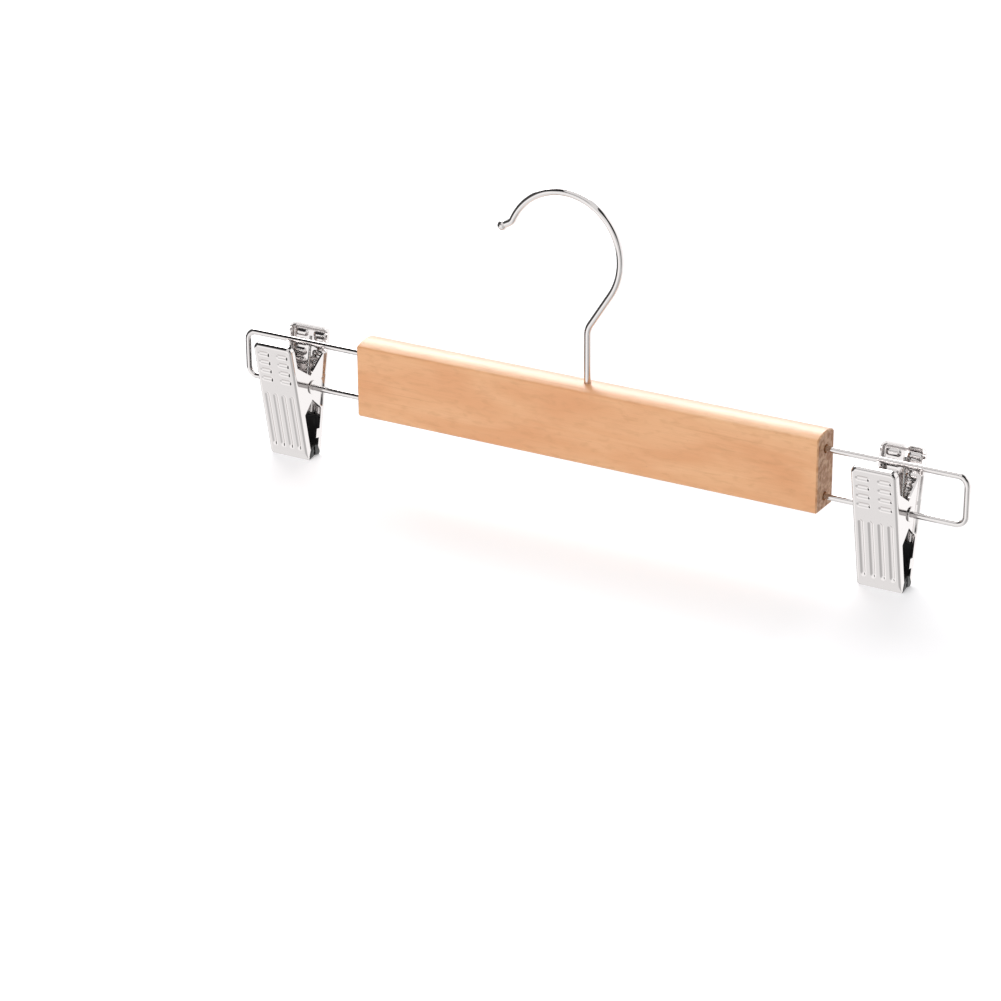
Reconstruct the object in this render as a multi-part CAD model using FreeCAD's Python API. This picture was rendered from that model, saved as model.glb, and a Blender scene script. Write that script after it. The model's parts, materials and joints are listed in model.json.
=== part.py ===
"""Skirt hanger: a wooden bar with a swivelling wire hook, and a sprung clip on a wire rail at each end.

Millimetres. +X runs along the bar, +Y points away from the front of the bar, +Z is up.
The origin is the hook's seat: the inside of the top of its bend, where a wardrobe rail carries it.
"""
import FreeCAD, Part
import math
import os

from FreeCAD import Placement, Rotation, Vector

# Driving dimensions, in millimetres, degrees and counts

# Wooden bar
bar_length = 204.0
bar_height = 31.7
bar_crown = 1.7
bar_thickness = 14.0
bar_top_round = 1.0
bar_bottom_round = 1.2
bar_end_ease = 0.5

# Hook: round wire, bent in the plane of the bar, riveted over a washer under the bar
hook_wire = 2.8
hook_inside = 46.4
hook_stem = 22.15
hook_offset = 10.6
hook_slope = 33.0
hook_end_angle = 155.0
knee_radius = 8.0
tip_radius = 4.0
tip_turn = 38.0
tip_run = 3.4
tip_ball = 4.0
rivet_overhang = 1.2
rivet_thickness = 1.6
washer_overhang = 1.9
washer_thickness = 1.0
counterbore_clearance = 1.0
counterbore_depth = 7.0
swivel_clearance = 0.06
seat_gap = 0.05

# Wire rails: one loop in each end of the bar
rail_wire = 2.4
rail_reach = 58.5
rail_corner = 3.8
rail_depth = 24.0
rail_from_bottom = 5.2
rail_from_top = 7.2
rail_hole_clearance = 0.02
rail_mouth_clearance = 0.65
rail_mouth_depth = 6.0

# Clip plates: two sheet steel pressings hinged about the lower run of the rail
plate_width = 18.4
sheet = 0.8
bend_inside = 0.6
finger_corner_inside = 1.8
jaw_corner_inside = 0.3
finger_spread = 31.0
jaw_thickness = 10.4
jaw_reach = 29.7
finger_reach = 23.6
finger_flange = 2.8
side_flange = 3.2
bevel_length = 3.2
bevel_depth = 1.2
ear_wall = 1.8
ear_above_hinge = 13.3
ear_below_hinge = 9.1
ear_clearance = 0.2
joggle_start = 1.8
tab_start = 7.4
tab_length = 3.9
tab_reach = 2.0
relief_length = 1.5
relief_slant = 3.1
relief_width = 2.2
relief_start = 1.7

# Pressed detail of the plates: finger dents in two columns, and long flutes
dent_rows = 4
dent_length = 6.0
dent_width = 2.3
dent_depth = 0.7
dent_pitch = 3.9
dent_from_side = 1.75
dent_from_end = 4.1
flute_count = 4
flute_width = 2.4
flute_depth = 0.6
flute_from_side = 2.0
flute_from_pad = 0.5
flute_past_hinge = 1.5

# Rubber jaw pads
pad_clearance = 0.1
pad_gap = 0.3
pad_tip = 1.4
tongue_end = 16.4
tongue_thickness = 1.3
grip_pitch = 1.8
grip_depth = 0.4
grip_start = 1.3

# Hinge sleeve: a tubular rivet through the ears, which the rail runs through
sleeve_wall = 0.6
sleeve_clearance = 0.05
ear_hole_clearance = 0.05
sleeve_head_overhang = 1.05
sleeve_head_thickness = 0.5
head_clearance = 0.15

# Torsion spring, wound round the sleeve
spring_wire = 1.1
coil_clearance = 0.35
coil_turns = 4
coil_pitch = 1.65
spring_leg_from_end = 4.7
spring_leg_side = 0.9
spring_leg_clearance = 0.15
spring_lead = 4.0
spring_bend = 8.0

# Where each clip stands in its travel along its rail: 0 beside the bar, 1 beside the far bend
left_clip_place = 0.767
right_clip_place = 0.474
travel_margin = 0.3

# Places worked out from the sizes

# The hook hangs from its seat; its slanting run meets the stem at the knee, and the stem enters the bar
hook_radius = hook_inside / 2 + hook_wire / 2
bend_centre = Vector(0, 0, -hook_inside / 2)
slope = math.radians(hook_slope)
bend_start = bend_centre + Vector(hook_radius * math.cos(slope), 0, -hook_radius * math.sin(slope))
stem_x = hook_offset
knee_z = bend_start.z - (bend_start.x - stem_x) / math.tan(slope)
bar_top = knee_z - hook_stem
bar_bottom = bar_top - bar_height
rivet_radius = hook_wire / 2 + rivet_overhang
washer_radius = rivet_radius + washer_overhang
washer_bottom = bar_bottom + counterbore_depth - seat_gap - washer_thickness

# Rails: one run low in the bar, one high
rail_z = bar_bottom + rail_from_bottom
rail_top_z = bar_top - rail_from_top
bar_ends = {"left": stem_x - bar_length / 2, "right": stem_x + bar_length / 2}
outward = {"left": -1, "right": 1}

# A plate leans out from jaw to finger end; the hinge lies between the two plates, in the middle plane
plate_length = jaw_reach + finger_reach
plate_lean = math.degrees(math.asin((finger_spread - jaw_thickness) / 2 / plate_length))
lean_sin = math.sin(math.radians(plate_lean))
lean_cos = math.cos(math.radians(plate_lean))
hinge_depth = (jaw_thickness / 2 + jaw_reach * lean_sin) / lean_cos
half_width = plate_width / 2

# The sleeve runs on the rail, the ears turn on the sleeve, and the coil lies round it
sleeve_bore = rail_wire / 2 + sleeve_clearance
sleeve_radius = sleeve_bore + sleeve_wall
sleeve_end = half_width + head_clearance + sleeve_head_thickness
ear_hole = sleeve_radius + ear_hole_clearance
ear_round = ear_hole + ear_wall
ear_top = jaw_reach + ear_above_hinge
ear_bottom = jaw_reach - ear_below_hinge
inner_ear_outside = half_width - sheet - ear_clearance
inner_ear_inside = inner_ear_outside - sheet
coil_radius = sleeve_radius + coil_clearance + spring_wire / 2

# The pad fills the cut-away corners behind the lip, the flutes start past it, and its tongue lies on them
lip_depth = jaw_thickness / 2 - pad_tip
relief_end = relief_length + relief_slant
pad_length = relief_end - pad_clearance
tongue_back = sheet + flute_depth + pad_clearance
flute_start = pad_length + flute_from_pad

# A clip slides between the end of the bar and the far bend of its rail
first_stop = sleeve_end + travel_margin
last_stop = rail_reach - rail_wire / 2 - rail_corner - sleeve_end - travel_margin
clip_place = {"left": left_clip_place, "right": right_clip_place}

X_AXIS = Vector(1, 0, 0)
Z_AXIS = Vector(0, 0, 1)


# Shared shapes

def arc_between(start, tangent, end):
    """The circular arc that leaves start along tangent and ends at end."""
    chord = end - start
    along = Vector(chord).normalize()
    side = tangent - along * tangent.dot(along)
    bulge = chord.Length / 2 * math.tan(tangent.getAngle(chord) / 2)
    middle = (start + end) * 0.5 + side.normalize() * bulge
    return Part.Arc(start, middle, end).toShape()


def rounded_run(points, radii):
    """Edges of straight runs through the points, with a tangent arc at each inner point."""
    edges = []
    last = points[0]
    for before, corner, after, radius in zip(points, points[1:], points[2:], radii):
        into = (corner - before).normalize()
        away = (after - corner).normalize()
        setback = radius * math.tan(into.getAngle(away) / 2)
        start = corner - into * setback
        end = corner + away * setback
        edges.append(Part.LineSegment(last, start).toShape())
        edges.append(arc_between(start, into, end))
        last = end
    edges.append(Part.LineSegment(last, points[-1]).toShape())
    return edges


def tube(edges, diameter):
    """Round wire along a smooth chain of edges."""
    path = Part.Wire(edges)
    first = path.OrderedEdges[0]
    start = first.valueAt(first.FirstParameter)
    circle = Part.Circle(start, first.tangentAt(first.FirstParameter), diameter / 2)
    section = Part.Wire(circle.toShape())
    shell = Part.BRepOffsetAPI.MakePipeShell(path)
    shell.add(section)
    shell.build()
    shell.makeSolid()
    return shell.shape()


def rod(radius, start, end):
    """A round rod between two points."""
    return Part.makeCylinder(radius, (end - start).Length, start, end - start)


def box(low, high):
    """A block between two corners."""
    size = high - low
    return Part.makeBox(size.x, size.y, size.z, low)


def edges_where(shape, test):
    """The edges of a shape whose bounding box passes a test."""
    return [edge for edge in shape.Edges if test(edge.BoundBox)]


# Wooden bar: a planed stick with rounded top edges, drilled for the hook and the rails

def rail_hole(side, height):
    """A blind hole in the end of the bar, with a wider mouth."""
    mouth = Vector(bar_ends[side], 0, height)
    inward = X_AXIS * -outward[side]
    fit = rod(rail_wire / 2 + rail_hole_clearance, mouth, mouth + inward * (rail_depth + seat_gap))
    wide = rail_wire / 2 + rail_mouth_clearance
    return fit.fuse(rod(wide, mouth, mouth + inward * rail_mouth_depth))


def wood_bar():
    """A straight stick with a crowned top, drilled for the hook and the rails."""
    end = bar_ends["left"]
    side = bar_thickness / 2
    shoulder = bar_top - bar_crown
    corners = [
        Vector(end, -side, shoulder),
        Vector(end, -side, bar_bottom),
        Vector(end, side, bar_bottom),
        Vector(end, side, shoulder),
    ]
    crown = Part.Arc(corners[3], Vector(end, 0, bar_top), corners[0]).toShape()
    profile = Part.Wire(Part.makePolygon(corners).Edges + [crown])
    bar = Part.Face(profile).extrude(X_AXIS * bar_length)
    along = edges_where(bar, lambda b: b.XLength > bar_length / 2)
    bar = bar.makeFillet(bar_top_round, [e for e in along if e.BoundBox.ZMin > bar_bottom + bar_height / 2])
    along = edges_where(bar, lambda b: b.XLength > bar_length / 2 and b.ZMax < bar_bottom + bar_end_ease)
    bar = bar.makeFillet(bar_bottom_round, along)
    ends = edges_where(bar, lambda b: b.XLength < bar_end_ease)
    bar = bar.makeChamfer(bar_end_ease, ends)
    stem = Vector(stem_x, 0, bar_bottom)
    ceiling = stem + Z_AXIS * counterbore_depth
    bar = bar.cut(rod(hook_wire / 2 + swivel_clearance, stem, stem + Z_AXIS * bar_height))
    bar = bar.cut(rod(washer_radius + counterbore_clearance, stem, ceiling))
    for side in bar_ends:
        for height in (rail_z, rail_top_z):
            bar = bar.cut(rail_hole(side, height))
    return bar


# Hook: stem, knee, slanting run, bend, and a tip that flicks outwards to a ball

def hook():
    """Wire along its bends, with the ball of its tip and the rivet head under the washer."""
    def on_circle(centre, radius, angle):
        turn = math.radians(angle)
        return centre + Vector(radius * math.cos(turn), 0, radius * math.sin(turn))

    bend_end = on_circle(bend_centre, hook_radius, hook_end_angle)
    bend_middle = on_circle(bend_centre, hook_radius, (hook_end_angle - hook_slope) / 2)
    foot = Vector(stem_x, 0, washer_bottom - rivet_thickness / 2)
    edges = rounded_run([foot, Vector(stem_x, 0, knee_z), bend_start], [knee_radius])
    edges.append(Part.Arc(bend_start, bend_middle, bend_end).toShape())
    tip_centre = on_circle(bend_centre, hook_radius + tip_radius, hook_end_angle)
    tip_from = hook_end_angle + 180
    tip_middle = on_circle(tip_centre, tip_radius, tip_from - tip_turn / 2)
    tip_end = on_circle(tip_centre, tip_radius, tip_from - tip_turn)
    edges.append(Part.Arc(bend_end, tip_middle, tip_end).toShape())
    heading = on_circle(Vector(), 1, tip_from - tip_turn - 90)
    ball = tip_end + heading * tip_run
    edges.append(Part.LineSegment(tip_end, ball).toShape())
    head_top = Vector(stem_x, 0, washer_bottom)
    head = rod(rivet_radius, head_top - Z_AXIS * rivet_thickness, head_top)
    rim = edges_where(head, lambda b: b.ZMax < head_top.z - rivet_thickness / 2)
    head = head.makeFillet(rivet_thickness / 2, rim)
    return tube(edges, hook_wire).fuse([Part.makeSphere(tip_ball / 2, ball), head]).removeSplitter()


def hook_washer():
    """A flat ring that hangs on the rivet head, just under the ceiling of the counterbore."""
    low = Vector(stem_x, 0, washer_bottom)
    high = low + Z_AXIS * washer_thickness
    return rod(washer_radius, low, high).cut(rod(hook_wire / 2 + swivel_clearance, low, high))


# Wire rails: a long U, both legs driven into the end of the bar

def rail(side):
    inner = bar_ends[side] - outward[side] * rail_depth
    outer = bar_ends[side] + outward[side] * (rail_reach - rail_wire / 2)
    points = [
        Vector(inner, 0, rail_top_z),
        Vector(outer, 0, rail_top_z),
        Vector(outer, 0, rail_z),
        Vector(inner, 0, rail_z),
    ]
    return tube(rounded_run(points, [rail_corner, rail_corner]), rail_wire)


# Clip plates, in a frame whose origin is the hinge: X across, Y the depth into the clip, Z along the plate

def place(depth, along, across=0):
    """A point of a plate from its depth under the outer face and its distance from the jaw end."""
    return Vector(across, depth - hinge_depth, along - jaw_reach)


def middle_depth(along, gap=0):
    """Depth at which a plate meets the middle plane of the closed clip, less half a gap."""
    return hinge_depth + ((along - jaw_reach) * lean_sin - gap / 2) / lean_cos


def side_prism(outline, low_x, high_x):
    """A side outline of (depth, along) points, carried across the clip."""
    points = [place(depth, along, low_x) for depth, along in outline]
    return Part.Face(Part.makePolygon(points + points[:1])).extrude(X_AXIS * (high_x - low_x))


def bevel_outline(inset):
    """Side outline of what the bevelled jaw end lacks: past a slanting line, moved inwards by an inset."""
    slant = math.hypot(bevel_length, bevel_depth)
    top = (inset, bevel_length + inset * (slant - bevel_length) / bevel_depth)
    foot = (bevel_depth + inset * (slant - bevel_depth) / bevel_length, inset)
    past_top = (2 * top[0] - foot[0], 2 * top[1] - foot[1])
    past_foot = (2 * foot[0] - top[0], 2 * foot[1] - top[1])
    return [past_top, past_foot, (past_top[0], past_foot[1])]


def pan(inset, depth):
    """A rounded tray: flat web, bevelled jaw end, bent edges and rounded corners, shrunk by an inset."""
    low = place(inset, inset, inset - half_width)
    high = place(depth, plate_length - inset, half_width - inset)
    tray = box(low, high)
    grow = sheet - inset
    corners = edges_where(tray, lambda b: b.YLength > depth / 2)
    tray = tray.makeFillet(finger_corner_inside + grow, [e for e in corners if e.BoundBox.ZMin > 0])
    corners = edges_where(tray, lambda b: b.YLength > depth / 2 and b.ZMax < 0)
    tray = tray.makeFillet(jaw_corner_inside + grow, corners)
    rim = edges_where(tray, lambda b: b.YMax < low.y + sheet / 4)
    tray = tray.makeFillet(bend_inside + grow, rim)
    return tray.cut(side_prism(bevel_outline(inset), -plate_width, plate_width))


def ear_outline():
    """Side outline of an ear: from the flange along two tangents to the round about the hinge."""
    points = []
    for along, turn in ((ear_bottom, 1), (ear_top, -1)):
        offset = place(side_flange, along)
        heading = math.atan2(offset.z, offset.y)
        swing = math.acos(ear_round / offset.Length)
        touch = heading + turn * swing
        tangent = (hinge_depth + ear_round * math.cos(touch), jaw_reach + ear_round * math.sin(touch))
        root = [(joggle_start, along), (side_flange, along), tangent]
        points.append(root)
    return points[0] + [(hinge_depth, jaw_reach)] + points[1][::-1]


def ear(low_x, high_x):
    """One ear, with its round end about the hinge."""
    axis = Vector(low_x, 0, 0)
    return side_prism(ear_outline(), low_x, high_x).fuse(rod(ear_round, axis, Vector(high_x, 0, 0)))


def flange_outline():
    """Side outline of the plate: the lip of its jaw end, then its flange, lower towards the finger end."""
    return [
        (0, 0),
        (lip_depth, 0),
        (lip_depth, sheet + pad_clearance),
        (side_flange, relief_end),
        (side_flange, ear_top),
        (finger_flange, plate_length),
        (0, plate_length),
    ]


def tab_outline():
    """Side outline of the tab that stands on each flange of the back plate."""
    return [
        (joggle_start, tab_start),
        (side_flange + tab_reach, tab_start),
        (side_flange + tab_reach, tab_start + tab_length),
        (joggle_start, tab_start + tab_length),
    ]


def relief_outline():
    """The corner of the jaw end where the flange is cut away for the pad's lug."""
    return [
        (relief_start, 0),
        (relief_start, relief_length),
        (lip_depth, relief_end),
        (lip_depth, 0),
    ]


def dimple(middle, direction, run, width, depth, wall):
    """A capsule lying over the outer face, which presses a dent of this width and depth into it."""
    radius = (width * width / 4 + depth * depth) / (2 * depth)
    lift = Vector(0, depth - radius, 0)
    half = direction * ((run - width) / 2)
    start = middle + lift - half
    end = middle + lift + half
    shape = rod(radius + wall, start, end)
    return shape.fuse([Part.makeSphere(radius + wall, start), Part.makeSphere(radius + wall, end)])


def pressings(wall):
    """Capsules of all finger dents and flutes, thickened by a wall."""
    shapes = []
    dent_column = half_width - dent_from_side - dent_length / 2
    for row in range(dent_rows):
        along = plate_length - dent_from_end - row * dent_pitch
        for column in (-dent_column, dent_column):
            shapes.append(dimple(place(0, along, column), X_AXIS, dent_length, dent_width, dent_depth, wall))
    flute_length = jaw_reach + flute_past_hinge - flute_start
    outer_flute = half_width - flute_from_side - flute_width / 2
    for index in range(flute_count):
        across = outer_flute * (2 * index / (flute_count - 1) - 1)
        middle = place(0, flute_start + flute_length / 2, across)
        shapes.append(dimple(middle, Z_AXIS, flute_length, flute_width, flute_depth, wall))
    return shapes


def clip_plate(inner_ears):
    """One pressing. Its ears stand in the plane of its flanges, or are set in to pass inside the other's."""
    deep = hinge_depth + ear_round + sheet
    shell = pan(0, deep).cut(pan(sheet, deep + sheet))
    outline = side_prism(flange_outline(), -half_width, half_width)
    if inner_ears:
        outline = outline.fuse(side_prism(tab_outline(), -half_width, half_width))
    else:
        outline = outline.fuse(ear(-half_width, half_width))
    plate = shell.common(outline)
    for sign in (-1, 1):
        edge = sorted((sign * (half_width - relief_width), sign * (half_width + sheet)))
        plate = plate.cut(side_prism(relief_outline(), *edge))
        if inner_ears:
            plane = sorted((sign * inner_ear_inside, sign * inner_ear_outside))
            step = sorted((sign * inner_ear_inside, sign * (half_width - sheet / 2)))
            joggle = [
                (joggle_start, ear_bottom),
                (joggle_start, ear_top),
                (side_flange, ear_top),
                (side_flange, ear_bottom),
            ]
            plate = plate.fuse([ear(*plane), side_prism(joggle, *step)])
    hole = Vector(plate_width, 0, 0)
    plate = plate.cut(rod(ear_hole, hole * -1, hole))
    inside = box(place(sheet / 2, 0, sheet - half_width), place(deep, plate_length, half_width - sheet))
    plate = plate.fuse([shape.common(inside) for shape in pressings(sheet)])
    return plate.cut(pressings(0)).removeSplitter()


# Jaw pads: rubber blocks behind the lips that close on the middle plane, each with a tongue up its plate

def jaw_pad():
    """A block behind the lip, a tongue above it, a lug in each cut-away corner, and grip grooves."""
    lip = lip_depth + pad_clearance
    behind = sheet + pad_clearance
    block = [
        (lip, 0),
        (lip, behind),
        (behind, behind),
        (behind, pad_length),
        (middle_depth(pad_length, pad_gap), pad_length),
        (middle_depth(0, pad_gap), 0),
    ]
    half = half_width - sheet - pad_clearance
    pad = side_prism(block, -half, half)
    seat = place(behind, 0).y
    long_edges = edges_where(pad, lambda b: b.XLength < sheet and b.YMax < seat + sheet / 4)
    pad = pad.makeChamfer(bend_inside, long_edges)
    pad = pad.cut(side_prism(bevel_outline(behind), -plate_width, plate_width))
    tongue_low = place(tongue_back, pad_length / 2, -half)
    tongue_high = place(tongue_back + tongue_thickness, tongue_end, half)
    pad = pad.fuse(box(tongue_low, tongue_high))
    lug = [
        (relief_start + pad_clearance, 0),
        (relief_start + pad_clearance, relief_length - pad_clearance),
        (lip_depth, pad_length),
        (middle_depth(pad_length, pad_gap), pad_length),
        (middle_depth(0, pad_gap), 0),
    ]
    for sign in (-1, 1):
        edge = sorted((sign * (half_width - relief_width + pad_clearance), sign * half_width))
        pad = pad.fuse(side_prism(lug, *edge))
    grip_half = 2 * grip_depth
    grip_count = int((pad_length - grip_half - grip_start) / grip_pitch) + 1
    for index in range(grip_count):
        along = grip_start + index * grip_pitch
        surface = middle_depth(along, pad_gap)
        groove = [
            (surface + grip_depth, along - grip_half),
            (surface - grip_depth, along),
            (surface + grip_depth, along + grip_half),
        ]
        pad = pad.cut(side_prism(groove, -plate_width, plate_width))
    return pad.removeSplitter()


# Hinge sleeve: its ends are rolled over outside the ears

def hinge_sleeve():
    """A tube with a rounded head at each end, bored for the rail."""
    end = X_AXIS * sleeve_end
    body = rod(sleeve_radius, end * -1, end)
    for sign in (-1, 1):
        inner_face = X_AXIS * (sign * (sleeve_end - sleeve_head_thickness))
        head = rod(sleeve_radius + sleeve_head_overhang, inner_face, end * sign)
        middle = sleeve_end - sleeve_head_thickness / 2
        rim = edges_where(head, lambda b: min(abs(b.XMin), abs(b.XMax)) > middle)
        body = body.fuse(head.makeFillet(sleeve_head_thickness / 2, rim))
    return body.cut(rod(sleeve_bore, end * -1, end)).removeSplitter()


# Torsion spring: a leg against each finger plate, wound between them on the sleeve

def leg_end(sign):
    """Where a leg rests on the finger dents: behind the front plate for -1, the back plate for 1."""
    depth = sheet + dent_depth + spring_leg_clearance + spring_wire / 2 - hinge_depth
    up = finger_reach - spring_leg_from_end
    side = depth * lean_cos - up * lean_sin
    height = depth * lean_sin + up * lean_cos
    return Vector(sign * spring_leg_side, -sign * side, height)


def biarc(start, tangent, end, end_tangent):
    """Two arcs that join two points smoothly and meet on a common tangent."""
    chord = end - start
    both = tangent + end_tangent
    spread = 2 * (1 - tangent.dot(end_tangent))
    reach = math.sqrt(chord.dot(both) ** 2 + spread * chord.dot(chord)) - chord.dot(both)
    arm = reach / spread
    joint = (start + end + (tangent - end_tangent) * arm) * 0.5
    joint_tangent = (end - start - (tangent + end_tangent) * arm).normalize()
    return [arc_between(start, tangent, joint), arc_between(joint, joint_tangent, end)]


def torsion_spring():
    """Front leg, coil in quarter turns, back leg: one length of wire."""
    front = leg_end(-1)
    back = leg_end(1)
    opening = math.acos(coil_radius / math.hypot(front.y, front.z))
    begin = math.atan2(front.z, front.y) + opening
    finish = math.atan2(back.z, back.y) - opening + 2 * math.pi * (coil_turns + 1)
    rise = coil_pitch / (2 * math.pi)
    start_x = -rise * (finish - begin) / 2
    quarters = math.ceil((finish - begin) / (math.pi / 2))

    def turn_at(index):
        angle = begin + (finish - begin) * index / quarters
        side = coil_radius * math.cos(angle)
        height = coil_radius * math.sin(angle)
        point = Vector(start_x + rise * (angle - begin), side, height)
        return point, Vector(rise, -height, side).normalize()

    first, first_heading = turn_at(0)
    last, last_heading = turn_at(quarters)
    edges = rounded_run([front, first - first_heading * spring_lead, first], [spring_bend])
    for index in range(quarters):
        edges.extend(biarc(*turn_at(index), *turn_at(index + 1)))
    edges.extend(rounded_run([last, last + last_heading * spring_lead, back], [spring_bend]))
    return edges


def least_gap(edges, wire):
    """Least clear distance between stretches of a wire that lie several diameters apart along it."""
    samples_per_diameter = 4
    diameters_apart = 4
    points = Part.Wire(edges).discretize(Distance=wire / samples_per_diameter)
    skip = samples_per_diameter * diameters_apart
    spans = ((p - q).Length for i, p in enumerate(points) for q in points[i + skip:])
    return min(spans) - wire


# Build: make each piece once, then put a clip on each rail

def clip_pieces():
    """The pieces of one closed clip about its hinge at the origin."""
    lean = Placement(Vector(), Rotation(X_AXIS, plate_lean))
    turned = Placement(Vector(), Rotation(Z_AXIS, 180)) * lean
    spring_path = torsion_spring()
    print("spring: least gap between turns %.2f mm" % least_gap(spring_path, spring_wire))
    return {
        "front_plate": clip_plate(inner_ears=False).transformed(lean.toMatrix()),
        "back_plate": clip_plate(inner_ears=True).transformed(turned.toMatrix()),
        "front_pad": jaw_pad().transformed(lean.toMatrix()),
        "back_pad": jaw_pad().transformed(turned.toMatrix()),
        "clip_sleeve": hinge_sleeve(),
        "clip_spring": tube(spring_path, spring_wire),
    }


nodes = {
    "wood_bar": wood_bar(),
    "hook": hook(),
    "hook_washer": hook_washer(),
    "left_rail": rail("left"),
    "right_rail": rail("right"),
}
for piece, shape in clip_pieces().items():
    for side in bar_ends:
        clip_out = first_stop + clip_place[side] * (last_stop - first_stop)
        hinge = Vector(bar_ends[side] + outward[side] * clip_out, 0, rail_z)
        nodes[side + "_" + piece] = shape.translated(hinge)

os.makedirs("parts", exist_ok=True)
for name, shape in nodes.items():
    shape.exportStep("parts/" + name + ".step")
    print(name, "solids", len(shape.Solids), "valid", shape.isValid(), "volume %.1f" % shape.Volume)
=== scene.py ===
"""Skirt hanger: a lacquered wooden bar with a swivelling hook and a sprung clip on a wire rail at each end.

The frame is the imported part's: +X along the bar, +Y away from its front, +Z up, origin at the hook's seat.
Pieces are sized in millimetres and degrees and placed in metres. The studio and camera are in metres.
"""
import json
import math

import bpy
import numpy as np
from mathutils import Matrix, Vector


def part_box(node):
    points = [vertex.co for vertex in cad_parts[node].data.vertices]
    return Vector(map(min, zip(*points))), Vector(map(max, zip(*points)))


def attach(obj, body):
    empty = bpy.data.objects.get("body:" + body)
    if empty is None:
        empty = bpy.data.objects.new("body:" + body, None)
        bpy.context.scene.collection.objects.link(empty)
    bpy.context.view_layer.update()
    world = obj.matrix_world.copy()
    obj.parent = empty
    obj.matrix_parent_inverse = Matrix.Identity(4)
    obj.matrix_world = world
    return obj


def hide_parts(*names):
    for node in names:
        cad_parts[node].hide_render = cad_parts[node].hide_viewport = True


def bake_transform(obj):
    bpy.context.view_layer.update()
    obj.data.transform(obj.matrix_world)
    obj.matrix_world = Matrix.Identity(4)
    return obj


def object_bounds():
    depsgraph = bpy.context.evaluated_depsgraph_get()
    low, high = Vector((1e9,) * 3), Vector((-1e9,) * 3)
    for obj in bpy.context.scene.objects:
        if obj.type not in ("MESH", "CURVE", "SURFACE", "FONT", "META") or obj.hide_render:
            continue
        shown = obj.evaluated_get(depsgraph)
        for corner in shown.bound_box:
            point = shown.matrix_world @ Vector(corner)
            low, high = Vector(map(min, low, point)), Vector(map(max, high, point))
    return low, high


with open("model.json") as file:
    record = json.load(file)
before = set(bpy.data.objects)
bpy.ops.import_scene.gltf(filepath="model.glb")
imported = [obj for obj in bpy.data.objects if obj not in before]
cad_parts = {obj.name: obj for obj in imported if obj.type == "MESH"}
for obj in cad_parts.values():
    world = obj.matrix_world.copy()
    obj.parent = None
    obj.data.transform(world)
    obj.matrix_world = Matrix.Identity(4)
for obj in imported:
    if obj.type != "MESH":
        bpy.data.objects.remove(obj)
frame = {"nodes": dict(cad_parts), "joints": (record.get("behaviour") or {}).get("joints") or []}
cad_box = [list(corner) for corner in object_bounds()]
MM = 0.001


# Wooden bar: a planed stick of pale, close-grained hardwood with a crowned top, sealed with clear lacquer.
# It is drilled for the hook's stem and for the ends of the wire rails, which are pushed into it.

def linear(colour):
    """Linear RGBA of an sRGB hex colour: each channel with its display curve undone."""
    channels = np.array([int(colour[i:i + 2], 16) for i in (1, 3, 5)]) / 255
    curve = np.where(channels > 0.04045, ((channels + 0.055) / 1.055) ** 2.4, channels / 12.92)
    return (*curve, 1.0)


def add_node(tree, kind, inputs, **settings):
    """Adds a node: settings are its properties, inputs are socket values or sockets to link from."""
    node = tree.nodes.new(kind)
    for name, value in settings.items():
        setattr(node, name, value)
    for name, value in inputs.items():
        if isinstance(value, bpy.types.NodeSocket):
            tree.links.new(value, node.inputs[name])
        else:
            node.inputs[name].default_value = value
    return node


def blank_material(name):
    """A material with an empty node tree."""
    material = bpy.data.materials.new(name)
    material.use_nodes = True
    material.node_tree.nodes.clear()
    return material


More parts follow.
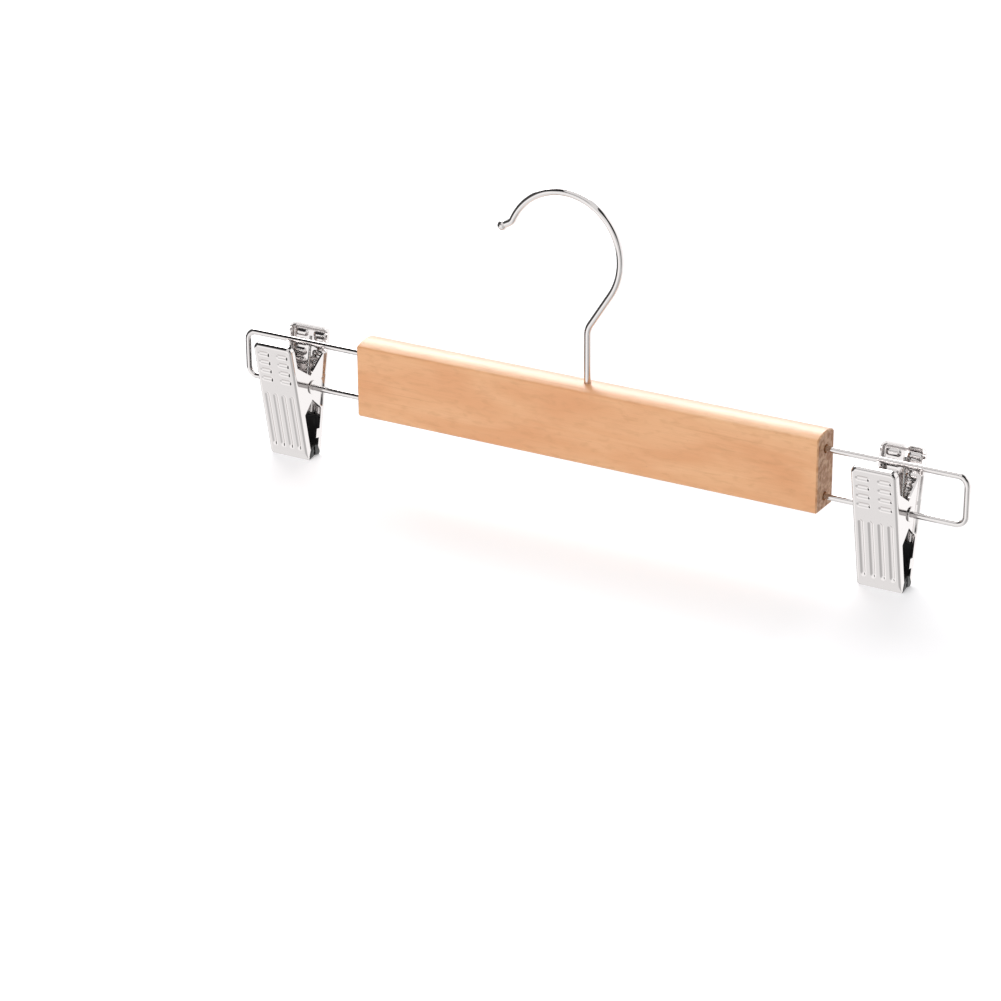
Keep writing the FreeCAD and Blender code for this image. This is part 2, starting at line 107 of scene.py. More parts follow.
def lacquered_beech():
    """Beech, planed along the grain: mottled bands, a few long lines and fine fibres, under satin lacquer.

    Each is soft noise drawn out along the bar, brought to a share that mixes in a darker colour. The faces
    that look along the bar show end grain, which drinks the lacquer, so it is darker and duller.
    """
    material = blank_material("lacquered_beech")
    tree = material.node_tree
    coordinates = add_node(tree, "ShaderNodeTexCoord", {}).outputs
    pale = linear("#F3BC88")
    warm = linear("#E6A26C")
    fibre = linear("#CF8C57")
    fleck = linear("#A86B45")
    end_grain = linear("#B87D56")
    end_pale = linear("#ECC29D")
    # Each noise: length and width of its spots in mm, detail, distortion, and where its share is 0 and 1
    grain = {
        "bands": (70, 14, 4, 0.8, 0.25, 0.75),
        "mottle": (7, 2.2, 4, 0.4, 0.45, 0.80),
        "fibres": (22, 0.5, 3, 0.0, 0.45, 0.80),
        "lines": (190, 2.4, 2, 0.5, 0.60, 0.70),
        "patches": (90, 18, 1, 0.0, 0.46, 0.60),
        "flecks": (2.6, 0.5, 2, 0.0, 0.69, 0.78),
        "pores": (3, 2.2, 5, 0.3, 0.35, 0.65),
    }
    noise = {}
    share = {}
    for name, (length, width, detail, distortion, low, high) in grain.items():
        stretch = (1 / (length * MM), 1 / (width * MM), 1 / (width * MM))
        moved = add_node(tree, "ShaderNodeMapping", {"Vector": coordinates["Object"], "Scale": stretch})
        spots = {"Vector": moved.outputs[0], "Scale": 1.0, "Detail": detail, "Distortion": distortion}
        noise[name] = add_node(tree, "ShaderNodeTexNoise", spots).outputs[0]
        edges = {"Value": noise[name], "From Min": low, "From Max": high}
        ramp = add_node(tree, "ShaderNodeMapRange", edges, interpolation_type="SMOOTHSTEP")
        share[name] = ramp.outputs[0]
    broken = {0: share["lines"], 1: share["patches"]}
    share["lines"] = add_node(tree, "ShaderNodeMath", broken, operation="MULTIPLY").outputs[0]
    # Each layer: its noise, how much of its colour it mixes in at most, and that colour
    layers = [
        ("bands", 1.0, warm),
        ("mottle", 0.45, fibre),
        ("fibres", 0.22, fibre),
        ("lines", 0.5, fibre),
        ("flecks", 0.35, fleck),
    ]
    colour = pale
    for name, most, tint in layers:
        amount = add_node(tree, "ShaderNodeMath", {0: share[name], 1: most}, operation="MULTIPLY")
        mix = {0: amount.outputs[0], 6: colour, 7: tint}
        colour = add_node(tree, "ShaderNodeMix", mix, data_type="RGBA").outputs[2]
    along_bar = add_node(tree, "ShaderNodeSeparateXYZ", {0: coordinates["Normal"]}).outputs["X"]
    along_bar = add_node(tree, "ShaderNodeMath", {0: along_bar}, operation="ABSOLUTE").outputs[0]
    edges = {"Value": along_bar, "From Min": 0.5, "From Max": 0.9}
    on_end = add_node(tree, "ShaderNodeMapRange", edges, interpolation_type="SMOOTHSTEP").outputs[0]
    end_mix = {0: share["pores"], 6: end_grain, 7: end_pale}
    end_colour = add_node(tree, "ShaderNodeMix", end_mix, data_type="RGBA").outputs[2]
    both = {0: on_end, 6: colour, 7: end_colour}
    colour = add_node(tree, "ShaderNodeMix", both, data_type="RGBA").outputs[2]
    # Each finish: what it follows, and its value where that is 0 and 1
    finishes = {
        "Roughness": (noise["fibres"], 0.36, 0.46),
        "Coat Weight": (on_end, 0.8, 0.0),
        "Specular IOR Level": (on_end, 0.5, 0.15),
    }
    finish = {}
    for name, (follows, first, second) in finishes.items():
        slope = {"Value": follows, "To Min": first, "To Max": second}
        finish[name] = add_node(tree, "ShaderNodeMapRange", slope).outputs[0]
    relief = {"Height": noise["fibres"], "Strength": 0.2, "Distance": 0.04 * MM}
    bump = add_node(tree, "ShaderNodeBump", relief)
    shader = add_node(tree, "ShaderNodeBsdfPrincipled", {
        "Base Color": colour,
        "IOR": 1.5,
        "Coat Roughness": 0.35,
        "Normal": bump.outputs[0],
        **finish,
    })
    add_node(tree, "ShaderNodeOutputMaterial", {"Surface": shader.outputs[0]})
    return material


def finish_node(name, material):
    """Gives a carried-over node its material."""
    slots = frame["nodes"][name].data.materials
    slots.clear()
    slots.append(material)


finish_node("wood_bar", lacquered_beech())
bar_low, bar_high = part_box("wood_bar")


# Hook: one length of hard-drawn steel wire, bent in the plane of the bar and chrome plated. Its tip is
# upset to a ball, and its foot is riveted over a washer in a counterbore under the bar, so it can turn.

def bright_chrome(name, ripple, ripple_size):
    """Chrome plate: a mirror a little softened by fine rubbing marks, rippled as the metal under it is.

    Marks and ripples are soft noise. The ripple's height and the size of its waves are in millimetres.
    """
    material = blank_material(name)
    tree = material.node_tree
    place = add_node(tree, "ShaderNodeTexCoord", {}).outputs["Object"]
    mark_size = 1.5
    mark_noise = {"Vector": place, "Scale": 1 / (mark_size * MM), "Detail": 3.0}
    marks = add_node(tree, "ShaderNodeTexNoise", mark_noise).outputs[0]
    dull = add_node(tree, "ShaderNodeMapRange", {"Value": marks, "To Min": 0.04, "To Max": 0.10})
    wave_noise = {"Vector": place, "Scale": 1 / (ripple_size * MM), "Detail": 1.0}
    waves = add_node(tree, "ShaderNodeTexNoise", wave_noise).outputs[0]
    bump = add_node(tree, "ShaderNodeBump", {"Height": waves, "Strength": 1.0, "Distance": ripple * MM})
    shader = add_node(tree, "ShaderNodeBsdfPrincipled", {
        "Base Color": linear("#DDD9D8"),
        "Metallic": 1.0,
        "Roughness": dull.outputs[0],
        "Normal": bump.outputs[0],
    })
    add_node(tree, "ShaderNodeOutputMaterial", {"Surface": shader.outputs[0]})
    return material


def bent_line(start, lengths, headings, step):
    """Centre line of a wire in the XZ plane, as the running sum of small steps.

    Each run takes the heading evenly from one angle to the next over its length: straight, or an arc.
    """
    knots = np.concatenate([[0], np.cumsum(lengths)])
    travelled = np.linspace(0, knots[-1], math.ceil(knots[-1] / step) + 1)
    middle = (travelled[1:] + travelled[:-1]) / 2
    heading = np.radians(np.interp(middle, knots, headings))
    moves = np.diff(travelled)[:, None] * np.stack([np.cos(heading), 0 * heading, np.sin(heading)], axis=1)
    points = np.array(start) + np.concatenate([np.zeros((1, 3)), np.cumsum(moves, axis=0)])
    return points, travelled


def swept(points, radii, across, sides):
    """Round tube on a centre line: a ring of the local radius about each point, and a flat cap at each end.

    Each ring stands square to the line, and starts square to across, which the line never runs along.
    """
    tangent = np.gradient(points, axis=0)
    tangent /= np.linalg.norm(tangent, axis=1)[:, None]
    right = np.cross(tangent, across)
    right /= np.linalg.norm(right, axis=1)[:, None]
    up = np.cross(right, tangent)
    angle = np.linspace(0, 2 * np.pi, sides, endpoint=False)[None, :, None]
    ring = np.cos(angle) * right[:, None] + np.sin(angle) * up[:, None]
    vertices = points[:, None] + np.broadcast_to(radii, len(points))[:, None, None] * ring
    count = len(points)
    row, column = np.meshgrid(np.arange(count - 1), np.arange(sides), indexing="ij")
    after = (column + 1) % sides
    quads = np.stack([(row + 1) * sides + column, (row + 1) * sides + after,
                      row * sides + after, row * sides + column], axis=-1).reshape(-1, 4)
    caps = [list(range(sides)), list(range((count - 1) * sides, count * sides))[::-1]]
    return vertices.reshape(-1, 3), quads.tolist() + caps


sharp_edge = math.radians(35)


def new_mesh(name, vertices, faces, material):
    """A mesh object at the origin, in metres, shaded smooth but for its sharp edges."""
    mesh = bpy.data.meshes.new(name)
    mesh.from_pydata(vertices, [], faces)
    mesh.polygons.foreach_set("use_smooth", np.ones(len(mesh.polygons), bool))
    mesh.set_sharp_from_angle(angle=sharp_edge)
    mesh.materials.append(material)
    piece = bpy.data.objects.new(name, mesh)
    bpy.context.scene.collection.objects.link(piece)
    return piece


def stand_for(piece, body, node):
    """A piece that takes a node's place on its body: it rides on the body, and the node is hidden."""
    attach(piece, body)
    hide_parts(node)


wire_chrome = bright_chrome("chrome_plated_wire", ripple=0.006, ripple_size=5.0)
wire_step = 0.2
hook_wire = 2.8
hook_sides = 40
hook_bend = 24.6
hook_slope = 33.0
hook_end = 155.0
knee_radius = 8.0
tip_radius = 4.0
tip_turn = 38.0
tip_run = 3.4
tip_ball = 4.0
rivet_radius = 2.6
rivet_thickness = 1.6
hook_low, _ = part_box("hook")
stem_x = (bar_low.x + bar_high.x) / 2 / MM
foot_z = hook_low.z / MM
slope = math.radians(hook_slope)
bend_centre_z = -(hook_bend - hook_wire / 2)
bend_start_x = hook_bend * math.cos(slope)
bend_start_z = bend_centre_z - hook_bend * math.sin(slope)
knee_z = bend_start_z - (bend_start_x - stem_x) / math.tan(slope)
knee_setback = knee_radius * math.tan(slope / 2)
hook_runs = [
    knee_z - knee_setback - foot_z,
    knee_radius * slope,
    (bend_start_x - stem_x) / math.sin(slope) - knee_setback,
    hook_bend * math.radians(hook_slope + hook_end),
    tip_radius * math.radians(tip_turn),
    tip_run + tip_ball / 2,
]
stem_heading = 90
run_heading = stem_heading - hook_slope
bend_heading = stem_heading + hook_end
tip_heading = bend_heading - tip_turn
hook_headings = [stem_heading, stem_heading, run_heading, run_heading, bend_heading]
hook_headings += [tip_heading, tip_heading]
hook_line, hook_travel = bent_line((stem_x, 0, foot_z), hook_runs, hook_headings, wire_step)
to_ball = hook_travel - (hook_travel[-1] - tip_ball / 2)
ball = np.sqrt(np.clip((tip_ball / 2) ** 2 - to_ball ** 2, 0, None))
head_edge = rivet_thickness / 2
into_edge = np.clip(head_edge - hook_travel, 0, head_edge)
head = rivet_radius - head_edge + np.sqrt(head_edge ** 2 - into_edge ** 2)
hook_radii = np.where(to_ball < 0, np.maximum(hook_wire / 2, ball), ball)
hook_radii = np.where(hook_travel <= rivet_thickness, head, hook_radii)
vertices, faces = swept(hook_line * MM, hook_radii * MM, (0, 1, 0), hook_sides)
stand_for(new_mesh("hook_wire", vertices, faces, wire_chrome), "hook", "hook")


# Hook washer: a stamped ring of zinc-plated steel between the rivet head and the wood.
# It is hidden in the counterbore under the bar.

def drawn_steel(name, colour, roughness, grain_size):
    """Bare or zinc-plated steel: grey, half matt, with a fine drawn grain of a size in millimetres.

    The grain is soft noise that spreads the roughness by 30 percent each way and stands up a little.
    """
    material = blank_material(name)
    tree = material.node_tree
    place = add_node(tree, "ShaderNodeTexCoord", {}).outputs["Object"]
    grain_noise = {"Vector": place, "Scale": 1 / (grain_size * MM), "Detail": 4.0}
    grain = add_node(tree, "ShaderNodeTexNoise", grain_noise).outputs[0]
    spread = {"Value": grain, "To Min": roughness * 0.7, "To Max": roughness * 1.3}
    dull = add_node(tree, "ShaderNodeMapRange", spread)
    bump = add_node(tree, "ShaderNodeBump", {"Height": grain, "Strength": 0.4, "Distance": 0.02 * MM})
    shader = add_node(tree, "ShaderNodeBsdfPrincipled", {
        "Base Color": linear(colour),
        "Metallic": 1.0,
        "Roughness": dull.outputs[0],
        "Normal": bump.outputs[0],
    })
    add_node(tree, "ShaderNodeOutputMaterial", {"Surface": shader.outputs[0]})
    return material


finish_node("hook_washer", drawn_steel("zinc_plated_steel", "#B4B6B8", roughness=0.35, grain_size=0.3))


# Wire rails: a long U of the same plated wire in each end of the bar. Both legs are pushed into blind
# holes, the upper run keeps the clip upright, and the lower run is the clip's hinge pin and slide.

rail_wire = 2.4
rail_sides = 36
rail_corner = 3.8
sides_of_bar = {"left": -1, "right": 1}
for side, outward in sides_of_bar.items():
    low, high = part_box(side + "_rail")
    length = (high.x - low.x) / MM - rail_wire / 2 - rail_corner
    height = (high.z - low.z) / MM - rail_wire - 2 * rail_corner
    inner_x = (low.x if outward > 0 else high.x) / MM
    start = (inner_x, 0, high.z / MM - rail_wire / 2)
    corner_run = rail_corner * math.pi / 2
    runs = [length, corner_run, height, corner_run, length]
    away = 90 - 90 * outward
    down = away - 90 * outward
    home = away - 180 * outward
    line, _ = bent_line(start, runs, [away, away, down, down, home, home], wire_step)
    vertices, faces = swept(line * MM, rail_wire / 2 * MM, (0, 1, 0), rail_sides)
    stand_for(new_mesh(side + "_rail_wire", vertices, faces, wire_chrome), "bar", side + "_rail")


# Clip plates: two pressings of thin steel for each clip, chrome plated. Flanges stiffen their edges, ears
# carry the hinge, short dents give the fingers a grip, and long flutes stiffen the jaw. The back plate's
# ears are set in.

plate_width = 18.4
jaw_reach = 29.7
finger_reach = 23.6
sheet = 0.8
bend = 1.4
finger_corner = 2.6
jaw_corner = 1.1
finger_spread = 31.0
jaw_thickness = 10.4
finger_flange = 2.8
side_flange = 3.2
lip_depth = 3.8
lip_height = 0.9
bevel_length = 3.2
bevel_depth = 1.2
bevel_crease = 0.25
relief_depth = 1.7
relief_length = 1.5
relief_end = 4.6
relief_width = 2.2
tab_start = 7.4
tab_end = 11.3
tab_depth = 5.2
tab_edge = 0.03
ear_round = 3.7
ear_hole = 1.9
ear_bottom = 20.6
ear_top = 43.0
ear_inset = 1.0
joggle_start = 1.8
joggle_run = 1.4
joggle_margin = 1.0
joggle_ease = 1.6
dent_rows = 4
dent_length = 6.4
dent_width = 3.0
dent_depth = 0.6
dent_pitch = 3.9
dent_column = 4.45
dent_from_end = 4.1
flute_count = 4
flute_width = 3.0
flute_depth = 0.6
flute_pitch = 4.0
flute_start = 4.6
flute_fade = 2.4
flute_past_hinge = 1.5
flute_end = jaw_reach + flute_past_hinge
half_width = plate_width / 2
plate_length = jaw_reach + finger_reach
lean = math.asin((finger_spread - jaw_thickness) / 2 / plate_length)
hinge_depth = (jaw_thickness / 2 + jaw_reach * math.sin(lean)) / math.cos(lean)
hinge_joints = [joint for joint in frame["joints"] if joint["type"] == "hinge"]
hinges = {joint["name"]: np.array(joint["pos_m"]) for joint in hinge_joints}


def middle_depth(along, gap):
    """Depth under a plate's outer face at which it meets the clip's middle plane, less half a gap."""
    return hinge_depth + ((along - jaw_reach) * math.sin(lean) - gap / 2) / math.cos(lean)


def clip_place(hinge, back, across, depth, along):
    """Points of a closed clip in metres.

    Depth and length are turned by the lean about the hinge; a back piece is then faced about.
    """
    y = depth - hinge_depth
    z = along - jaw_reach
    facing = -1 if back else 1
    turned = np.stack([
        facing * across,
        facing * (y * math.cos(lean) - z * math.sin(lean)),
        y * math.sin(lean) + z * math.cos(lean),
    ], axis=-1)
    return hinge + turned * MM


def smooth_step(value):
    """0 below 0, 1 above 1, and an easy curve between."""
    clipped = np.clip(value, 0, 1)
    return clipped * clipped * (3 - 2 * clipped)


def bowl(off):
    """1 in the middle of a pressing and 0 from its rim on: a squared cosine of the share of the way out."""
    return np.cos(np.clip(off, 0, 1) * np.pi / 2) ** 2


def pressings(across, along):
    """Depth of all pressings of a plate: round-ended finger dents in two columns, and round-topped flutes.

    Each is a bowl over the distance from its middle line.
    """
    total = 0 * across
    for row in range(dent_rows):
        beside = along - plate_length + dent_from_end + row * dent_pitch
        for column in (-dent_column, dent_column):
            past_end = np.clip(np.abs(across - column) - (dent_length - dent_width) / 2, 0, None)
            total += dent_depth * bowl(np.hypot(past_end, beside) / (dent_width / 2))
    past_end = np.clip(along - flute_end + flute_width / 2, 0, None)
    fade = smooth_step((along - flute_start) / flute_fade)
    for index in range(flute_count):
        beside = across - (index - (flute_count - 1) / 2) * flute_pitch
        total += flute_depth * fade * bowl(np.hypot(beside, past_end) / (flute_width / 2))
    return total


def flange_depth(along, back):
    """Depth of the side flange's edge: straight runs between knots, with a round ear about the hinge.

    It is cut back by the relief at the jaw. The back plate has a tab as well.
    """
    touches = []
    for root, way in ((ear_bottom, 1), (ear_top, -1)):
        y = side_flange - hinge_depth
        z = root - jaw_reach
        angle = math.atan2(z, y) + way * math.acos(ear_round / math.hypot(y, z))
        touches.append((jaw_reach + ear_round * math.sin(angle), hinge_depth + ear_round * math.cos(angle)))
    knots = [(0, lip_depth), (lip_height, lip_depth), (relief_end, side_flange), (ear_bottom, side_flange)]
    knots += [*touches, (ear_top, side_flange), (plate_length, finger_flange)]
    depth = np.interp(along, *zip(*knots))
    slant = (lip_depth - relief_depth) / (relief_end - relief_length)
    relief = relief_depth + np.clip(along - relief_length, 0, None) * slant
    round_end = hinge_depth + np.sqrt(np.clip(ear_round ** 2 - (along - jaw_reach) ** 2, 0, None))
    on_round = (along > touches[0][0]) & (along < touches[1][0])
    depth = np.where(on_round, round_end, np.minimum(depth, relief))
    on_tab = back & (along >= tab_start) & (along <= tab_end)
    return np.where(on_tab, tab_depth, depth)


def plate_grid(back):
    """Outer face of a plate: (across, depth, along) points and faces.

    The web is a grid on a rounded rectangle whose depth bends over at its edges; the flanges go on down
    from its border to the edge's depth. The back plate's ears are set in.
    """
    bend_steps = 8
    width_steps = 38
    length_steps = 205
    corner_steps = 18
    flange_steps = 22
    arc = bend * (1 - np.cos(np.linspace(0, np.pi / 2, bend_steps)))
    inset = np.concatenate([arc, np.linspace(bend, half_width, width_steps)[1:]])
    share = np.concatenate([inset - half_width, half_width - inset[-2::-1]]) / half_width
    steps = [
        np.linspace(0, bevel_length, corner_steps),
        np.linspace(bevel_length, plate_length - finger_corner, length_steps),
        plate_length - finger_corner * (1 - np.sin(np.linspace(0, np.pi / 2, corner_steps))),
        plate_length - arc,
        np.array([tab_start - tab_edge, tab_start, tab_end, tab_end + tab_edge]),
    ]
    along = np.unique(np.round(np.concatenate(steps), 4))
    to_finger = np.clip(along - (plate_length - finger_corner), 0, finger_corner)
    to_jaw = np.clip(jaw_corner - along, 0, None)
    border = half_width - finger_corner + np.sqrt(finger_corner ** 2 - to_finger ** 2)
    border += np.sqrt(jaw_corner ** 2 - to_jaw ** 2) - jaw_corner
    s, t = np.meshgrid(along, share, indexing="ij")
    x = t * border[:, None]

    def corner_inset(radius, past):
        """Distance in from the side, or from the round of a corner."""
        beside = np.abs(x) - (half_width - radius)
        in_corner = (beside > 0) & (past > 0)
        return np.where(in_corner, radius - np.hypot(beside, past), half_width - np.abs(x))

    from_finger = corner_inset(finger_corner, s - (plate_length - finger_corner))
    from_finger = np.minimum(from_finger, plate_length - s)
    from_jaw = corner_inset(jaw_corner, jaw_corner - s)
    from_edge = np.where(s > plate_length / 2, from_finger, from_jaw)
    rounded = bend - np.sqrt(bend ** 2 - np.clip(bend - from_edge, 0, bend) ** 2)
    bevel = (bevel_length - s) * bevel_depth / bevel_length
    depth = (rounded + bevel + np.hypot(rounded - bevel, bevel_crease)) / 2 + pressings(x, s)
    rows, columns = x.shape
    index = np.arange(rows * columns).reshape(rows, columns)
    web = np.stack([index[:-1, :-1], index[:-1, 1:], index[1:, 1:], index[1:, :-1]], axis=-1).reshape(-1, 4)
    loop = np.concatenate([index[:-1, -1], index[-1, :0:-1], index[:0:-1, 0], index[0, :-1]])
    loop_x, loop_s, loop_depth = x.ravel()[loop], s.ravel()[loop], depth.ravel()[loop]
    edge = flange_depth(loop_s, back)
    on_lip = (loop_s == 0) & (np.abs(loop_x) < half_width - relief_width)
    edge = np.where(on_lip, lip_depth, edge)
    down = np.arange(1, flange_steps + 1)[:, None] / flange_steps
    strip_depth = loop_depth + (edge - loop_depth) * down
    strip_x = np.broadcast_to(loop_x, strip_depth.shape).copy()
    strip_s = np.broadcast_to(loop_s, strip_depth.shape)
    if back:
        on_ear = smooth_step((loop_s - ear_bottom + joggle_margin) / joggle_ease)
        on_ear *= smooth_step((ear_top + joggle_margin - loop_s) / joggle_ease)
        set_in = ear_inset * smooth_step((strip_depth - joggle_start) / joggle_run) * on_ear
        strip_x -= np.sign(strip_x) * set_in
    start = rows * columns + np.arange(flange_steps)[:, None] * len(loop)
    ring = np.concatenate([loop[None], start + np.arange(len(loop))])
    after = np.roll(ring, -1, axis=1)
    flange = np.stack([ring[1:], after[1:], after[:-1], ring[:-1]], axis=-1).reshape(-1, 4)
    pairs = ((x, strip_x), (depth, strip_depth), (s, strip_s))
    points = [np.concatenate([of_web.ravel(), of_strip.ravel()]) for of_web, of_strip in pairs]
    return points, np.concatenate([web, flange]).tolist()


def cut_out(piece, other):
    """Cuts a closed mesh out of a piece, and keeps the result as the piece's mesh."""
    cut = piece.modifiers.new("cut", "BOOLEAN")
    cut.operation = "DIFFERENCE"
    cut.object = other
    cut.solver = "EXACT"
    graph = bpy.context.evaluated_depsgraph_get()
    made = bpy.data.meshes.new_from_object(piece.evaluated_get(graph))
    made.set_sharp_from_angle(angle=sharp_edge)
    piece.modifiers.clear()
    piece.data = made
    bpy.data.objects.remove(other)


plate_chrome = bright_chrome("chrome_plated_pressing", ripple=0.004, ripple_size=6.0)
drill_sides = 48
for side in sides_of_bar:
    for face in ("front", "back"):
        back = face == "back"
        (across, depth, along), faces = plate_grid(back)
        hinge = hinges[side + "_jaw"]
        vertices = clip_place(hinge, back, across, depth, along)
        plate = new_mesh("%s_%s_pressing" % (side, face), vertices, faces, plate_chrome)
        wall = plate.modifiers.new("sheet", "SOLIDIFY")
        wall.thickness = sheet * MM
        wall.offset = -1
        wall.use_even_offset = True
        drill_line = hinge + np.array([[-plate_width * MM, 0, 0], [plate_width * MM, 0, 0]])
        drill_vertices, drill_faces = swept(drill_line, ear_hole * MM, (0, 1, 0), drill_sides)
        drill = new_mesh("hinge_drill", drill_vertices, drill_faces, plate_chrome)
        cut_out(plate, drill)
        stand_for(plate, "%s_%s" % (side, face), "%s_%s_plate" % (side, face))


# Jaw pads: black moulded rubber, pushed in behind the plate's lip. A tongue lies up the inside of the
# plate, a lug on each side fills its cut-away corner, and the faces that meet have cross grooves for grip.

def moulded_rubber():
    """Black rubber from a sparked mould: nearly black, matt, with a fine pebble and paler rubbed spots.

    Pebble and spots are soft noise: one stands up a little, the other mixes two blacks.
    """
    material = blank_material("moulded_rubber")
    tree = material.node_tree
    place = add_node(tree, "ShaderNodeTexCoord", {}).outputs["Object"]
    pebble_size = 0.35
    spot_size = 5.0
    pebble_noise = {"Vector": place, "Scale": 1 / (pebble_size * MM), "Detail": 2.0}
    pebble = add_node(tree, "ShaderNodeTexNoise", pebble_noise).outputs[0]
    spot_noise = {"Vector": place, "Scale": 1 / (spot_size * MM), "Detail": 3.0}
    spots = add_node(tree, "ShaderNodeTexNoise", spot_noise).outputs[0]
    tint = {0: spots, 6: linear("#141415"), 7: linear("#252526")}
    colour = add_node(tree, "ShaderNodeMix", tint, data_type="RGBA")
    bump = add_node(tree, "ShaderNodeBump", {"Height": pebble, "Strength": 0.5, "Distance": 0.04 * MM})
    shader = add_node(tree, "ShaderNodeBsdfPrincipled", {
        "Base Color": colour.outputs[2],
        "Roughness": 0.5,
        "IOR": 1.52,
        "Normal": bump.outputs[0],
    })
    add_node(tree, "ShaderNodeOutputMaterial", {"Surface": shader.outputs[0]})
    return material


pad_clearance = 0.1
pad_gap = 0.3
pad_length = relief_end - pad_clearance
tongue_end = 16.4
tongue_thickness = 1.3
grip_count = 2
grip_start = 1.3
grip_pitch = 1.8
grip_depth = 0.4
grip_half_width = 2 * grip_depth
mould_round = 0.25


def pad_outlines():
    """Side outlines of a pad, as (depth, along) corners that match point for point.

    They are its block with the tongue, the shoulder of its lug with and without the tongue, and the lug.
    """
    lip = lip_depth + pad_clearance
    behind = sheet + pad_clearance
    slant = math.hypot(bevel_length, bevel_depth)
    bevel_top = bevel_length + behind * (slant - bevel_length) / bevel_depth
    bevel_foot = bevel_depth + behind * (slant - bevel_depth) / bevel_length
    lug = relief_depth + pad_clearance
    seat = [(behind, bevel_top), (behind, pad_length)]
    tongue_back = sheet + flute_depth + pad_clearance
    tongue_face = tongue_back + tongue_thickness
    tongue = [(tongue_back, pad_length), (tongue_back, tongue_end)]
    tongue += [(tongue_face, tongue_end), (tongue_face, pad_length)]
    no_tongue = [(depth, pad_length) for depth in np.linspace(tongue_back, tongue_face, len(tongue))]
    grip = [(middle_depth(pad_length, pad_gap), pad_length)]
    for index in reversed(range(grip_count)):
        along = grip_start + index * grip_pitch
        for off, cut in ((grip_half_width, 0), (0, grip_depth), (-grip_half_width, 0)):
            grip.append((middle_depth(along + off, pad_gap) - cut, along + off))
    grip.append((middle_depth(0, pad_gap), 0))
    block = [(lip, 0), (lip, behind), (bevel_foot, behind), *seat, *tongue, *grip]
    lug_edge = [(lug, 0), (lug, behind / 2), (lug, behind)]
    shoulder = [*lug_edge, *seat, *tongue, *grip]
    bare_shoulder = [*lug_edge, *seat, *no_tongue, *grip]
    lug_foot = (lug, relief_length - pad_clearance)
    lug_depths = np.linspace(lip_depth, grip[0][0], len(seat + tongue) + 1)[:-1]
    lug_back = [(depth, pad_length) for depth in lug_depths]
    lug_alone = [(lug, 0), (lug, relief_length / 2), lug_foot, *lug_back, *grip]
    return [np.array(outline) for outline in (block, shoulder, bare_shoulder, lug_alone)]


def eased(outline, radius):
    """A closed outline whose corners are bowed: each is a quadratic curve from side to side.

    It leaves its sides at the radius, or just short of half a side.
    """
    most_of_side = 0.45
    bow_points = 4
    corners = []
    for way in (1, -1):
        side = np.roll(outline, way, axis=0) - outline
        length = np.linalg.norm(side, axis=1)[:, None]
        corners.append(outline + side * np.minimum(radius / length, most_of_side))
    share = np.linspace(0, 1, bow_points)[None, :, None]
    bow = (1 - share) ** 2 * corners[0][:, None] + share ** 2 * corners[1][:, None]
    return (bow + 2 * share * (1 - share) * outline[:, None]).reshape(-1, 2)


def drawn_in(outline, inset):
    """An outline moved inwards by an inset, square to the line between each point's neighbours."""
    along = np.roll(outline, -1, axis=0) - np.roll(outline, 1, axis=0)
    along /= np.linalg.norm(along, axis=1)[:, None]
    return outline + inset * np.stack([along[:, 1], -along[:, 0]], axis=1)


def jaw_rubber(name, hinge, back, material):
    """A pad: its outlines carried across from side to side, drawn in at both ends to round them."""
    block, shoulder, bare_shoulder, lug = [eased(outline, mould_round) for outline in pad_outlines()]
    step = 0.05
    part_round = mould_round * 0.3
    lug_inside = half_width - sheet - pad_clearance
    block_end = half_width - relief_width + pad_clearance
    half = [
        (block_end - step, block),
        (block_end + step, shoulder),
        (lug_inside - 5 * step, shoulder),
        (lug_inside - 3 * step, bare_shoulder),
        (lug_inside - step, bare_shoulder),
        (lug_inside + step, lug),
        (half_width - mould_round, lug),
        (half_width - part_round, drawn_in(lug, part_round)),
        (half_width, drawn_in(lug, mould_round)),
    ]
    stations = [(-across, outline) for across, outline in reversed(half)] + half
    count = len(block)
    across = np.repeat([place for place, _ in stations], count)
    depth, along = np.concatenate([outline for _, outline in stations]).T
    row, column = np.meshgrid(np.arange(len(stations) - 1), np.arange(count), indexing="ij")
    after = (column + 1) % count
    walls = np.stack([row * count + column, (row + 1) * count + column,
                      (row + 1) * count + after, row * count + after], axis=-1).reshape(-1, 4)
    last = (len(stations) - 1) * count
    ends = [list(range(count)), list(range(last, last + count))[::-1]]
    return new_mesh(name, clip_place(hinge, back, across, depth, along), walls.tolist() + ends, material)


rubber = moulded_rubber()
for side in sides_of_bar:
    for face in ("front", "back"):
        pad_name = "%s_%s_jaw_rubber" % (side, face)
        pad = jaw_rubber(pad_name, hinges[side + "_jaw"], face == "back", rubber)
        stand_for(pad, "%s_%s" % (side, face), "%s_%s_pad" % (side, face))


# Hinge sleeves: a tubular rivet of plated steel through each clip's ears, rolled over outside them. The
# rail's lower run goes through it, so that the clip can slide and swing.

for side in sides_of_bar:
    finish_node(side + "_clip_sleeve", plate_chrome)


# Clip springs: bare spring-steel wire wound round the sleeve, with a leg pressed against the inside of each
# plate's finger end.

spring_wire = 1.1
spring_sides = 16
coil_radius = 2.75
coil_turns = 4
coil_pitch = 1.65
turn_steps = 60
leg_from_end = 4.7
leg_up = finger_reach - leg_from_end
leg_side = 0.9
leg_depth = 2.2
lead = 4.0
lead_bend = 8.0


def leg_end(sign):
    """Where a leg rests on the finger dents: behind the front plate for -1, the back plate for 1.

    A depth under the plate and a length above the hinge, turned by the plate's lean.
    """
    y = leg_depth - hinge_depth
    side = y * math.cos(lean) - leg_up * math.sin(lean)
    height = y * math.sin(lean) + leg_up * math.cos(lean)
    return np.array([sign * leg_side, -sign * side, height])


